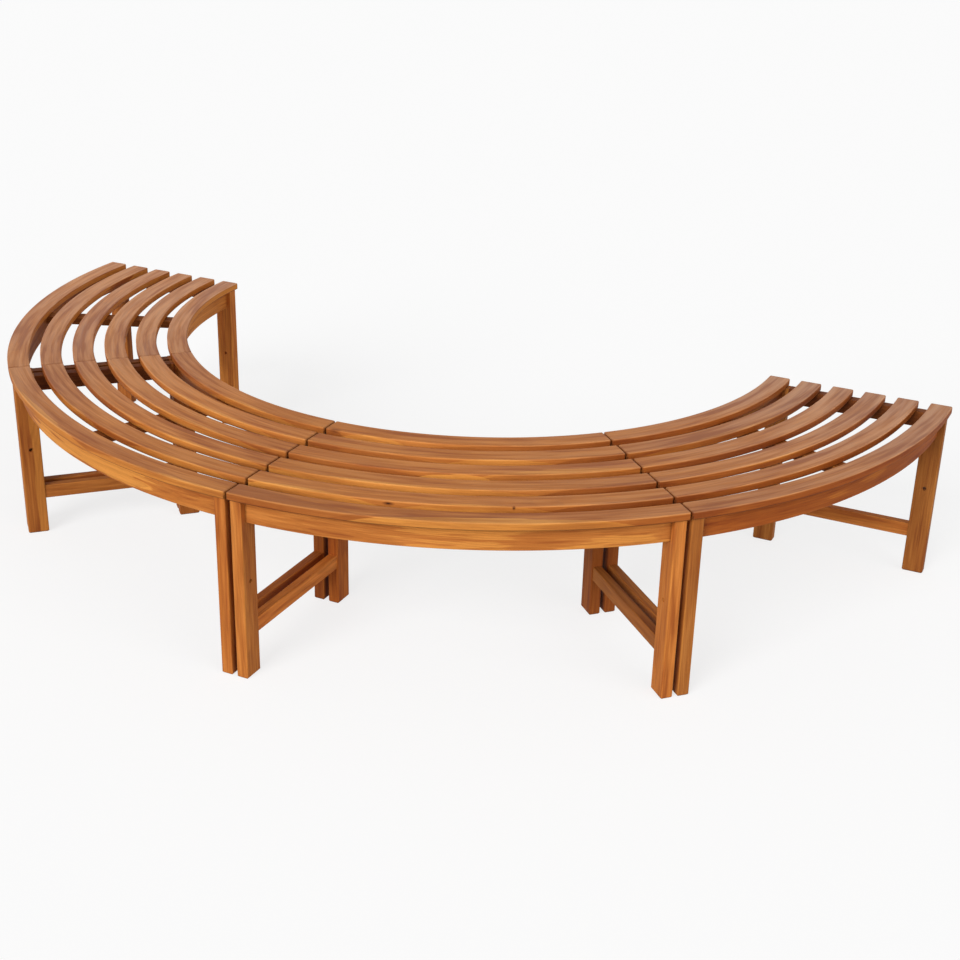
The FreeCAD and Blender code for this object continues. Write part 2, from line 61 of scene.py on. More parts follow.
@dataclass(frozen=True)
class Ring:
    """The half ring that the benches form.

    Args:
        outer_radius: outer edge of the seat.
        bench_angle: angle of one bench, in degrees.
        benches: the benches' letters, in order round the ring.
        joint_gap: distance from a slat's end to its end plane.
    """

    outer_radius: float = 1.275
    bench_angle: float = 45.0
    benches: str = "abcd"
    joint_gap: float = 0.0015

    @property
    def centre_y(self) -> float:
        """Where the ring's centre lies along Y: the box of the half ring is centred on the origin."""
        return (self.outer_radius + self.joint_gap) / 2

    @property
    def half_angle(self) -> float:
        """Half of a bench's angle, in radians."""
        return math.radians(self.bench_angle / 2)

    def middle_of(self, bench: int) -> float:
        """Angle of a bench's middle, in radians."""
        turn = 270 + (bench - (len(self.benches) - 1) / 2) * self.bench_angle
        return math.radians(turn)


RING = Ring()


def linear(colour: Colour) -> tuple[float, float, float, float]:
    """Turn a colour as it looks on screen, from 0 to 1, into the scene's linear values.

    Args:
        colour: red, green and blue as shown on screen.

    Returns:
        Linear red, green and blue, with an alpha of 1.
    """
    values = (part / 12.92 if part <= 0.04045 else ((part + 0.055) / 1.055) ** 2.4 for part in colour)
    return (*values, 1.0)


@dataclass(frozen=True)
class Field:
    """A number or colour that a node works out for each point, with the signs of arithmetic for numbers.

    Args:
        graph: the node tree that it is in.
        socket: the output that gives it.
    """

    graph: "Graph"
    socket: bpy.types.NodeSocket

    def __add__(self, other: "Number") -> "Field":
        """Add a number."""
        return self.graph.math("ADD", self, other)

    def __sub__(self, other: "Number") -> "Field":
        """Take a number from this one."""
        return self.graph.math("SUBTRACT", self, other)

    def __rsub__(self, other: "Number") -> "Field":
        """Take this one from a number."""
        return self.graph.math("SUBTRACT", other, self)

    def __mul__(self, other: "Number") -> "Field":
        """Multiply by a number."""
        return self.graph.math("MULTIPLY", self, other)

    def __truediv__(self, other: "Number") -> "Field":
        """Divide by a number."""
        return self.graph.math("DIVIDE", self, other)

    __rmul__ = __mul__


Number = Field | float


class Graph:
    """A node tree, with short methods for the nodes that the finishes and the studio need."""

    def __init__(self, owner: Owner) -> None:
        """Start the node tree of a new material or world.

        Args:
            owner: the material or world.
        """
        owner.use_nodes = True
        self.owner = owner
        self.tree = owner.node_tree
        self.tree.nodes.clear()

    def node(self, kind: str, inputs: dict | None = None, **settings: object) -> bpy.types.Node:
        """Add a node, set its properties and feed its inputs.

        Args:
            kind: the node's type, without the leading ShaderNode.
            inputs: socket name or number to a value or a field.
            settings: properties of the node itself.

        Returns:
            The new node.
        """
        made = self.tree.nodes.new(f"ShaderNode{kind}")
        for key, setting in settings.items():
            setattr(made, key, setting)
        for key, source in (inputs or {}).items():
            if isinstance(source, Field):
                self.tree.links.new(source.socket, made.inputs[key])
            else:
                made.inputs[key].default_value = source
        return made

    def field(self, kind: str, inputs: dict | None = None, output: int | str = 0,
              **settings: object) -> Field:
        """Add a node as above, and take one of its outputs by name or number."""
        return Field(self, self.node(kind, inputs, **settings).outputs[output])

    def parts(self, whole: Field, kind: str = "SeparateXYZ") -> list[Field]:
        """Split a place, or with another kind of node a colour, into its three numbers."""
        return [Field(self, output) for output in self.node(kind, {0: whole}).outputs]

    def math(self, operation: str, *numbers: Number) -> Field:
        """Work out one number from up to three, with the Math node's operation of that name."""
        return self.field("Math", dict(enumerate(numbers)), operation=operation)

    def vector(self, first: Number, second: Number, third: Number) -> Field:
        """Join three numbers into a vector."""
        return self.field("CombineXYZ", {0: first, 1: second, 2: third})

    def noise(self, place: Field, detail: float = 2.0, roughness: float = 0.5) -> Field:
        """Smooth noise from 0 to 1: detail is the number of finer layers, roughness their strength."""
        return self.field("TexNoise", {"Vector": place, "Scale": 1.0, "Detail": detail,
                                       "Roughness": roughness})

    def span(self, value: Field, low: float, high: float, to_low: float = 0.0,
             to_high: float = 1.0) -> Field:
        """Map the range from low to high smoothly onto to_low to to_high, and hold it at the ends."""
        return self.field("MapRange", {0: value, 1: low, 2: high, 3: to_low, 4: to_high},
                          interpolation_type="SMOOTHSTEP")

    def mix(self, share: Number, first: Field | Colour, second: Field | Colour) -> Field:
        """Mix two colours: the share is how much of the second one shows."""
        first, second = (part if isinstance(part, Field) else linear(part) for part in (first, second))
        return self.field("Mix", {0: share, 6: first, 7: second}, output=2, data_type="RGBA")

    def seen(self) -> Field:
        """Tell what is seen from the light that falls on things.

        Returns:
            1 for what the camera, a reflection or a pane shows, else 0.
        """
        rays = self.node("LightPath").outputs
        camera, gloss, pane = (Field(self, rays[f"Is {kind} Ray"])
                               for kind in ("Camera", "Glossy", "Transmission"))
        return self.math("MAXIMUM", self.math("MAXIMUM", camera, gloss), pane)

    def finish(self, shader: Field) -> Owner:
        """Connect the shader to the material's or world's output, and hand the material or world over."""
        self.node(f"Output{type(self.owner).__name__}", {"Surface": shader})
        return self.owner


class Member(Enum):
    """The kinds of board that the benches are made of, each with a number for its boards' patterns."""

    SLAT = 1
    APRON = 2
    LEG = 3
    RAIL = 4
    BEARER = 5


@dataclass(frozen=True)
class Timber:
    """The boards of one kind.

    Args:
        member: the kind of board.
        section: a board's sizes across and through, in the order that Spot has them.
        edge: rounding of its edges.
        straightness: for curved boards, how straight the grain runs: near 0 it follows the curve.
        slant: for curved boards, the range of the grain's slant, in radians.
        end_step: what an end of a bench adds to a board's row or takes from it.
        apart: range of the places where the boards' patterns start, in cells of the pattern.
    """

    member: Member
    section: Section
    edge: float
    straightness: float = 0.35
    slant: float = 0.22
    end_step: float = 3.0
    apart: float = 60.0


@dataclass(frozen=True)
class Spot:
    """A point's place in its board.

    Args:
        along: place along the grain.
        across: place across the grain, from the board's middle.
        through: place through the board, from its middle.
        board: vector that is the same all over one board and differs from board to board.
        edge: how far the point is inside the rounding of an edge, above 0 where it is.
        end: 1 on the end faces, falling to 0 a few millimetres from them.
    """

    along: Field
    across: Field
    through: Field
    board: Field
    edge: Field
    end: Number = 0.0


class WoodGraph(Graph):
    """The node tree of a wood, with each point's place in the half ring and in its board, and the grain.

    Attributes:
        radius: distance from the ring's axis.
        around: angle round the ring from the free end of the first bench, in degrees.
        bench: number of the bench, from 0.
        turn: angle from the bench's middle, in radians.
        side: sign of that angle.
        inset: distance from the nearer end plane.
        height: height above the floor.
        spot: the place in the board.
        chances: three random numbers, the same all over one board.
        shift: how far a board's patterns are moved, in cells.
        clouds, bands, streaks, lines, pores: noise drawn out along the grain, from broad to fine.
    """

    def __init__(self, name: str, timber: Timber, seed: float) -> None:
        """Work the places and the grain out from the object's own coordinates.

        The bench is the sector that the point's angle lies in, the turn is the angle from that bench's
        middle, and the inset is the radius times the sine of what is left of half the bench's angle.

        Args:
            name: the material's name.
            timber: the boards.
            seed: changes the grain.
        """
        super().__init__(bpy.data.materials.new(name))
        self.timber = timber
        place = self.parts(self.field("TexCoord", output="Object"))
        east, north, self.height = place[0], place[1] - RING.centre_y, place[2]
        self.radius = self.math("SQRT", east * east + north * north)
        angle = self.math("ARCTAN2", north, east) + math.pi
        self.around = angle * math.degrees(1.0)
        sectors = angle / (2 * RING.half_angle)
        self.bench = self.math("FLOOR", sectors)
        self.turn = (sectors - self.bench - 0.5) * (2 * RING.half_angle)
        self.side = self.math("SIGN", self.turn)
        self.inset = self.radius * self.math("SINE", RING.half_angle - self.math("ABSOLUTE", self.turn))
        finders = {Member.SLAT: self.slat, Member.APRON: self.apron, Member.LEG: self.leg,
                   Member.RAIL: self.rail, Member.BEARER: self.bearer}
        self.spot = finders[timber.member]()
        white = self.node("TexWhiteNoise", {"Vector": self.spot.board, "W": seed}, noise_dimensions="4D")
        self.chances = self.parts(Field(self, white.outputs["Color"]), "SeparateColor")
        self.shift = Field(self, white.outputs["Value"]) * timber.apart
        self.clouds = self.grain(length=0.36, width=0.050)
        self.bands = self.grain(length=0.20, width=0.013, roughness=0.55)
        self.streaks = self.grain(length=0.13, width=0.0045, detail=3.0, roughness=0.6)
        self.lines = self.grain(length=0.08, width=0.0012, roughness=0.6)
        self.pores = self.grain(length=0.006, width=0.0004, detail=1.0)

    def grain(self, length: float, width: float, detail: float = 2.0, roughness: float = 0.5) -> Field:
        """Noise in cells that lie along the grain, at a different place for each board.

        Args:
            length: size of a cell along the grain.
            width: size of a cell across the grain.
            detail: number of finer layers.
            roughness: strength of the finer layers.

        Returns:
            The noise.
        """
        across = self.spot.across / width + self.shift
        along = self.spot.along / length + self.shift
        return self.noise(self.vector(across, along, self.spot.through / width), detail, roughness)

    def board(self, row: Number) -> Field:
        """A vector that no other board has: its row, its bench and the number of its kind."""
        return self.vector(row, self.bench, float(self.timber.member.value))

    def end_board(self, first: Field) -> Field:
        """The vector of a board at one end of a bench, from a number that is 0 or 1."""
        return self.board(first + self.side * self.timber.end_step)

    def leg_line(self) -> tuple[Field, Field]:
        """Tell outer legs and aprons, 1, from inner ones, 0, and give the radius of their middle."""
        outer = self.math("GREATER_THAN", self.radius, SLATS.middle_radius)
        return outer, outer * (FRAME.outer_middle - FRAME.inner_middle) + FRAME.inner_middle

    def slat(self) -> Spot:
        """Find the place in a slat: a curved board, the rows counted from the ring's centre.

        Returns:
            The place.
        """
        row = self.math("FLOOR", (self.radius - SLATS.inner_radius) / SLATS.step)
        middle = row * SLATS.step + (SLATS.inner_radius + SLATS.width / 2)
        return self.curved(middle, SLATS.underside + SLATS.thickness / 2, row, RING.joint_gap)

    def apron(self) -> Spot:
        """Find the place in an apron: a curved board with its broad faces upright."""
        outer, middle = self.leg_line()
        return self.curved(middle, SLATS.underside - self.timber.section[1] / 2, outer, FRAME.inside)

    def curved(self, middle: Field, level: float, row: Field, end_at: float) -> Spot:
        """Find the place in a board that goes round the ring.

        The grain runs nearly straight, so it leaves the curve a little at both ends. A small slant of the
        grain, different for each board, is a shift of the turn.

        Args:
            middle: radius of the board's middle line.
            level: height of the board's middle.
            row: the board's row.
            end_at: inset of the board's end.

        Returns:
            The place.
        """
        timber, board = self.timber, self.board(row)
        chance = self.field("TexWhiteNoise", {"Vector": board, "W": 0.5}, noise_dimensions="4D")
        bent = (self.turn - (chance - 0.5) * timber.slant) * timber.straightness
        along = self.math("SINE", bent) / timber.straightness * self.radius
        across = self.radius * self.math("COSINE", bent) - middle
        through = self.height - level
        edge = self.edge_of(self.radius - middle, through, timber.edge - (self.inset - end_at))
        end = self.span(self.inset, end_at + 0.0050, end_at + 0.0012)
        return Spot(along, across, through, board, edge, end)

    def leg(self) -> Spot:
        """Find the place in a leg: the grain runs upright, and the foot is its end.

        Returns:
            The place.
        """
        outer, middle = self.leg_line()
        across, through = self.radius - middle, self.inset - FRAME.leg_inset
        edge = self.edge_of(across, through, self.timber.edge - self.height)
        end = self.span(self.height, 0.0060, 0.0005)
        return Spot(self.height, across, through, self.end_board(outer), edge, end)

    def rail(self) -> Spot:
        """Find the place in an end rail or a stretcher: the grain runs out from the ring's axis.

        Returns:
            The place.
        """
        upper = self.math("GREATER_THAN", self.height, SLATS.underside / 2)
        rise = FRAME.rail_level - FRAME.stretcher_level
        across = self.height - (upper * rise + FRAME.stretcher_level)
        through = self.inset - FRAME.leg_inset
        return Spot(self.radius, across, through, self.end_board(upper), self.edge_of(across, through))

    def bearer(self) -> Spot:
        """Find the place in a middle bearer: the grain runs out from the ring's axis.

        A bearer is the only one of its bench, so its row is any fixed number.

        Returns:
            The place.
        """
        across = self.radius * self.math("SINE", self.turn)
        through = self.height - (SLATS.underside - self.timber.section[1] / 2)
        return Spot(self.radius, across, through, self.board(row=7.0), self.edge_of(across, through))

    def edge_of(self, across: Field, through: Field, ends: Number = -1.0) -> Field:
        """Find the rounded edges: the points where two of the three faces are near.

        Each direction gives how far the point is past the start of the rounding, and the middle one of the
        three numbers is above 0 on an edge.

        Args:
            across: place across the board, from its middle.
            through: place through the board, from its middle.
            ends: how far the point is past the start of the end's rounding.

        Returns:
            The middle number.
        """
        first, second = (self.math("ABSOLUTE", place) - (size / 2 - self.timber.edge)
                         for place, size in zip((across, through), self.timber.section))
        lower, higher = self.math("MINIMUM", first, second), self.math("MAXIMUM", first, second)
        return self.math("MAXIMUM", lower, self.math("MINIMUM", higher, ends))


@dataclass(frozen=True)
class WoodTones:
    """Colours of the oiled hardwood, as they look on screen.

    Args:
        pale: pale streaks and the sapwood's yellow.
        light: the lighter heartwood.
        body: main colour.
        dark: the darker, redder heartwood.
        deep: the darkest heartwood, beside the sapwood.
        line: late wood of the year rings, and the ring round a knot's eye.
        eye: the dark eye of a knot.
        dry: the pale colour painted on the seats' tops as a sheen of light reflected at a grazing view.
        oil: what a thick oiling multiplies the colour by, partly as painted shade.
    """

    pale: Colour = (0.88, 0.60, 0.27)
    light: Colour = (0.780, 0.490, 0.225)
    body: Colour = (0.710, 0.425, 0.180)
    dark: Colour = (0.600, 0.325, 0.130)
    deep: Colour = (0.50, 0.235, 0.085)
    line: Colour = (0.38, 0.18, 0.075)
    eye: Colour = (0.13, 0.06, 0.03)
    dry: Colour = (0.86, 0.79, 0.74)
    oil: Colour = (0.84, 0.71, 0.59)


@dataclass(frozen=True)
class Knot:
    """A knot in one of the slats.

    Args:
        radius: its distance from the ring's axis.
        angle: its angle round the ring, in degrees.
        height: its height above the floor.
        length: its reach along the grain.
        width: its reach across the grain.
    """

    radius: float
    angle: float
    height: float
    length: float = 0.016
    width: float = 0.006

    @property
    def place(self) -> Place:
        """The knot's place in the row's frame."""
        angle = math.radians(self.angle)
        return (self.radius * math.cos(angle), RING.centre_y + self.radius * math.sin(angle), self.height)


class Wood(Enum):
    """The two kinds of wood that show side by side in a board."""

    SAP = "sap"
    HEART = "heart"


@dataclass(frozen=True)
class Flame:
    """A streak along the outer edge of a slat, widest in its middle and drawn out to a point at both ends.

    Args:
        bench: number of the bench, from 0.
        row: number of the slat, from 1 at the inner edge of the seat.
        start: angle round the ring where it starts, in degrees from the free end of the first bench.
        stop: angle where it ends.
        reach: how far it reaches over the slat's top from the outer edge.
        share: how much of its colour shows.
        wood: its kind of wood.
    """

    bench: int
    row: int
    start: float
    stop: float
    reach: float
    share: float
    wood: Wood = Wood.SAP


@dataclass(frozen=True)
class OiledWood:
    """Oiled hardwood, matt: year rings, soft streaks, sapwood, fine lines, pores, edge wear, oiling.

    The pale edges are partly a painted highlight, and the oiling is partly painted shade. The slats
    also have flames and knots, and a paler painted sheen on top.

    Args:
        name: the material's name.
        timber: how its boards lie.
        tones: its colours.
        roughness: how matt it is.
        ring_width: distance between two year rings.
        ring_share: how much the year rings show: least on the slats, whose skin has weathered smooth.
        smooth: whether the next four groups of numbers run into each other round the ring.
        shades: brightness of the wood round the ring: partly its own tone, partly painted light and shade.
        sap_limits: how far from a board's middle the sapwood starts, round the ring.
        dryness: how much painted sheen the seat's top shows, round the ring.
        oiliness: how thick the oiling is round the ring, partly as painted shade; on a slat only
        on its sides and underneath.
        sap_side: 1 where the sapwood is on the side away from the ring's centre, -1 on the other.
        sap_share: how much of the sapwood's colour shows at most.
        spread: how much the boards differ from each other.
        end_dark: how much darker the end grain is.
        under_dark: how much darker a slat's lower edges are painted, as the shade beneath the slat.
        specular: strength of the sheen.
        seed: changes the pattern.
    """

    name: str
    timber: Timber
    tones: WoodTones = WoodTones()
    roughness: float = 0.62
    ring_width: float = 0.0055
    ring_share: float = 0.18
    smooth: bool = False
    shades: Numbers = (1.0,)
    sap_limits: Numbers = (0.034,)
    dryness: Numbers = (0.0,)
    oiliness: Numbers = (0.5,)
    sap_side: float = 1.0
    sap_share: float = 0.80
    spread: float = 0.5
    end_dark: float = 0.30
    under_dark: float = 0.45
    specular: float = 0.15
    seed: float = 0.0

    @property
    def for_slats(self) -> bool:
        """Whether it is the slats' finish."""
        return self.timber.member is Member.SLAT

    def build(self) -> bpy.types.Material:
        """Make the material.

        Returns:
            The finished material.
        """
        graph = WoodGraph(self.name, self.timber, self.seed)
        spot, chances, bands, lines = graph.spot, graph.chances, graph.bands, graph.lines
        tones, spread = self.tones, self.spread
        tone = (graph.clouds * 0.35 + bands * 0.40 + graph.streaks * 0.25
                + (chances[2] - 0.5) * (0.08 * spread))
        colour = graph.mix(graph.span(tone, 0.49, 0.59), tones.body, tones.light)
        colour = graph.mix(graph.span(tone, 0.50, 0.39), colour, tones.dark)
        colour = graph.mix(self.sapwood(graph), colour, tones.pale)
        if self.for_slats:
            colour = self.flames(graph, colour)
        late = self.year_rings(graph)
        colour = graph.mix(late * self.ring_share, colour, tones.line)

        board = graph.span(chances[0], 0.0, 1.0, 1.0 - 0.06 * spread, 1.0 + 0.06 * spread)
        fine = graph.span(lines, 0.36, 0.62, 0.92, 1.05) * graph.span(graph.pores, 0.30, 0.42, 0.86, 1.0)
        ends = 1.0 - spot.end * self.end_dark
        rim = graph.span(spot.edge, -0.0004, 0.0012)
        # Pale rims on the rounded edges: partly wear, partly a painted highlight where the edges catch the
        # light.
        worn_and_highlight = rim * graph.span(bands, 0.42, 0.60, 0.02, 0.20) * (1.0 - spot.end)
        if self.for_slats:
            upper = graph.math("GREATER_THAN", spot.through, 0.0)
            # Painted shade: the lower rounded edges are darkened, as the shadow line under the slat.
            ends = ends * (1.0 - rim * (1.0 - upper) * self.under_dark)
            # On a slat only the upper edges are paled: wear, and a painted highlight where the light
            # catches them.
            worn_and_highlight = worn_and_highlight * upper
        # Brightness round the ring, partly the wood's tone and partly painted light and shade, times the
        # board's own tone, the grain and the darker end grain.
        shade = self.by_angle(graph, self.shades) * board * fine * ends
        colour = graph.field("VectorMath", {0: colour, "Scale": shade}, operation="SCALE")
        colour = graph.mix(worn_and_highlight, colour, tones.pale)
        colour = self.skin(graph, colour)
        if self.for_slats:
            colour = self.knots(graph, colour)

        relief = lines * 0.6 + graph.pores * 0.4 + late * -0.3
        bump = graph.field("Bump", {"Strength": 0.30, "Distance": 0.0006, "Height": relief})
        gloss = lines * 0.16 + worn_and_highlight * -0.10 + (self.roughness - 0.06)
        return graph.finish(graph.field("BsdfPrincipled", {
            "Base Color": colour, "Roughness": gloss, "Normal": bump,
            "Specular IOR Level": self.specular}))

    def skin(self, graph: WoodGraph, colour: Field) -> Field:
        """Lay the finish over the wood: oiling and painted shade deepen it, a painted sheen pales the seat.

        A slat's top gets the painted sheen, unevenly along the bands of its grain, and its sides and
        underside are deepened as painted shade. Other boards are deepened all over, partly as oiling and
        partly as painted shade.

        Args:
            graph: the wood's node tree.
            colour: the bare wood's colour.

        Returns:
            The finished colour.
        """
        oil = self.by_angle(graph, self.oiliness)
        if self.for_slats:
            half = SLATS.thickness / 2
            top = graph.span(graph.spot.through, half - SLATS.edge, half - 0.0005)
            uneven = graph.span(graph.bands, 0.35, 0.65, 0.7, 1.3)
            # Painted sheen: the top is paled, as light reflected at a grazing view.
            dry = self.by_angle(graph, self.dryness) * top * uneven
            # Painted shade: the sides and underside are deepened, the top is not.
            oil = oil * (1.0 - top)
            colour = graph.mix(dry, colour, self.tones.dry)
        oil_and_shade_tint = linear(self.tones.oil)[:3]
        deep = graph.field("VectorMath", {0: colour, 1: oil_and_shade_tint}, operation="MULTIPLY")
        return graph.mix(oil, colour, deep)

    def by_angle(self, graph: WoodGraph, values: Numbers) -> Number:
        """Pick a number by the angle round the ring.

        In a smooth finish the numbers are spread evenly from the first end of the ring to the last and run
        into each other. Otherwise each holds for an equal part of the ring: 4 numbers are one for each
        bench, and 8 are one for each half of a bench, so that the legs of each end have their own.

        Args:
            graph: the wood's node tree.
            values: the numbers.

        Returns:
            The number's field, or the number itself where there is only one.
        """
        if len(values) == 1:
            return values[0]
        node = graph.node("ValToRGB", {0: graph.around / (RING.bench_angle * len(RING.benches))})
        ramp = node.color_ramp
        ramp.interpolation = "LINEAR" if self.smooth else "CONSTANT"
        parts = len(values) - 1 if self.smooth else len(values)
        for number, value in enumerate(values):
            element = ramp.elements[number] if number < 2 else ramp.elements.new(number / parts)
            element.position = number / parts
            element.color = (value, value, value, 1.0)
        return Field(graph, node.outputs[0])

    def year_rings(self, graph: WoodGraph) -> Field:
        """Cut the board out of a log: circles round a heart line that runs at a slant through or below it.

        The distance from the heart line, in ring widths, grows from one ring to the next. Its fraction
        rises slowly to the late wood and drops at the next ring. On a face nearly along the heart line the
        circles draw the long tapered figure of sawn boards.

        Args:
            graph: the wood's node tree.

        Returns:
            Share of late wood.
        """
        spot, chances, clouds = graph.spot, graph.chances, graph.clouds
        heart_across = (chances[0] - 0.5) * 0.09
        heart_below = chances[1] * 0.045 + 0.012
        slope = (chances[2] - 0.5) * 0.12
        bend = (clouds - 0.5) * 0.030
        wide = spot.across - heart_across + bend
        deep = spot.through + heart_below + slope * spot.along + bend
        phase = graph.math("FRACT", graph.math("SQRT", wide * wide + deep * deep) / self.ring_width)
        rising, falling = graph.span(phase, 0.25, 0.88), graph.span(phase, 1.0, 0.92)
        return rising * falling * graph.span(clouds, 0.35, 0.60, 0.25, 1.0)

    def sapwood(self, graph: WoodGraph) -> Field:
        """Find the yellow sapwood: what lies beyond a limit on one side of the board.

        The border wanders slowly, and finer noise along the grain draws it out into long tapered flames.

        Args:
            graph: the wood's node tree.

        Returns:
            How much of the sapwood's colour shows.
        """
        limit = graph.chances[1] * 0.010 + self.by_angle(graph, self.sap_limits)
        wander = ((graph.clouds - 0.5) * 0.055 + (graph.bands - 0.5) * 0.022
                  + (graph.streaks - 0.5) * 0.012)
        beyond = graph.spot.across * self.sap_side + wander - limit
        strength = graph.span(graph.chances[0], 0.0, 1.0, 0.55 * self.sap_share, self.sap_share)
        return graph.span(beyond, -0.0012, 0.0015) * strength

    def flames(self, graph: WoodGraph, colour: Field) -> Field:
        """Lay the streaks of sapwood and dark heartwood over the slats' outer edges.

        A flame starts at the bottom of the outer side and goes up it and over the edge onto the top. Its
        border's distance from that bottom edge, measured over the surface, is 1 - u squared times its full
        width, which thin streaks fray; u runs from -1 to 1 from one tip to the other.

        Args:
            graph: the wood's node tree.
            colour: the wood's colour without them.

        Returns:
            The colour with them.
        """
        frayed = (graph.streaks - 0.5) * 0.016
        climbed = graph.spot.through + SLATS.thickness / 2
        uneven = graph.span(graph.bands, 0.35, 0.65, 0.55, 1.15)
        for flame in FLAMES:
            half = (flame.stop - flame.start) / 2
            place = (graph.around - (flame.start + half)) / half
            swell = graph.math("MAXIMUM", 1.0 - place * place, 0.0)
            inward = SLATS.middle_of(flame.row) + SLATS.width / 2 - graph.radius
            past = swell * (frayed + (flame.reach + SLATS.thickness)) - (inward + climbed)
            same = graph.math("COMPARE", graph.bench, float(flame.bench), 0.5)
            shown = (graph.span(past, 0.0, 0.0020, 0.0, flame.share) * same * uneven
                     * graph.span(inward, -0.003, -0.002))
            tone = self.tones.pale if flame.wood is Wood.SAP else self.tones.deep
            colour = graph.mix(shown, colour, tone)
        return colour

    def knots(self, graph: WoodGraph, colour: Field) -> Field:
        """Lay the knots over the slats' colour: a dark eye in a red-brown ring, longer along the grain.

        The Mapping node counts the places from the knot, out from the ring's axis and along the grain, and
        in parts of the knot's size.

        Args:
            graph: the wood's node tree.
            colour: the wood's colour without knots.

        Returns:
            The colour with them.
        """
        place = graph.field("TexCoord", output="Object")
        for knot in KNOTS:
            turn, size = (0.0, 0.0, math.radians(knot.angle)), (knot.width, knot.length, knot.width)
            offset = graph.field("Mapping", {0: place, 1: knot.place, 2: turn, 3: size},
                                 vector_type="TEXTURE")
            far = graph.field("VectorMath", {0: offset}, output="Value", operation="LENGTH")
            colour = graph.mix(graph.span(far, 1.6, 0.5, 0.0, 0.75), colour, self.tones.line)
            colour = graph.mix(graph.span(far, 0.55, 0.30, 0.0, 0.85), colour, self.tones.eye)
        return colour


@dataclass(frozen=True)
class PlainSteel:
    """Stainless screw steel with fine turned lines.

    Args:
        colour: colour of the bare metal.
        dull: colour of its duller lines.
        roughness: how rough it is.
        marks: turned lines in a metre, along X, Y and Z.
    """

    colour: Colour = (0.72, 0.72, 0.73)
    dull: Colour = (0.60, 0.60, 0.62)
    roughness: float = 0.35
    marks: Place = (900.0, 900.0, 4000.0)

    def build(self) -> bpy.types.Material:
        """Make the material.

        Returns:
            The finished material.
        """
        graph = Graph(bpy.data.materials.new("screw steel"))
        place = graph.field("TexCoord", output="Object")
        marks = graph.noise(graph.field("VectorMath", {0: place, 1: self.marks}, operation="MULTIPLY"))
        rough = graph.span(marks, 0.3, 0.7, self.roughness - 0.08, self.roughness + 0.12)
        bump = graph.field("Bump", {"Strength": 0.15, "Distance": 0.0002, "Height": marks})
        tint = graph.mix(marks, self.colour, self.dull)
        return graph.finish(graph.field("BsdfPrincipled", {
            "Base Color": tint, "Metallic": 1.0, "Roughness": rough, "Normal": bump}))


def eased(distance: np.ndarray, radius: float) -> np.ndarray:
    """How far a rounded end draws in: a quarter circle's depth at a distance from the end, then nothing."""
    inside = np.clip(radius - distance, 0.0, radius)
    return radius - np.sqrt(np.maximum(radius ** 2 - inside ** 2, 0.0))


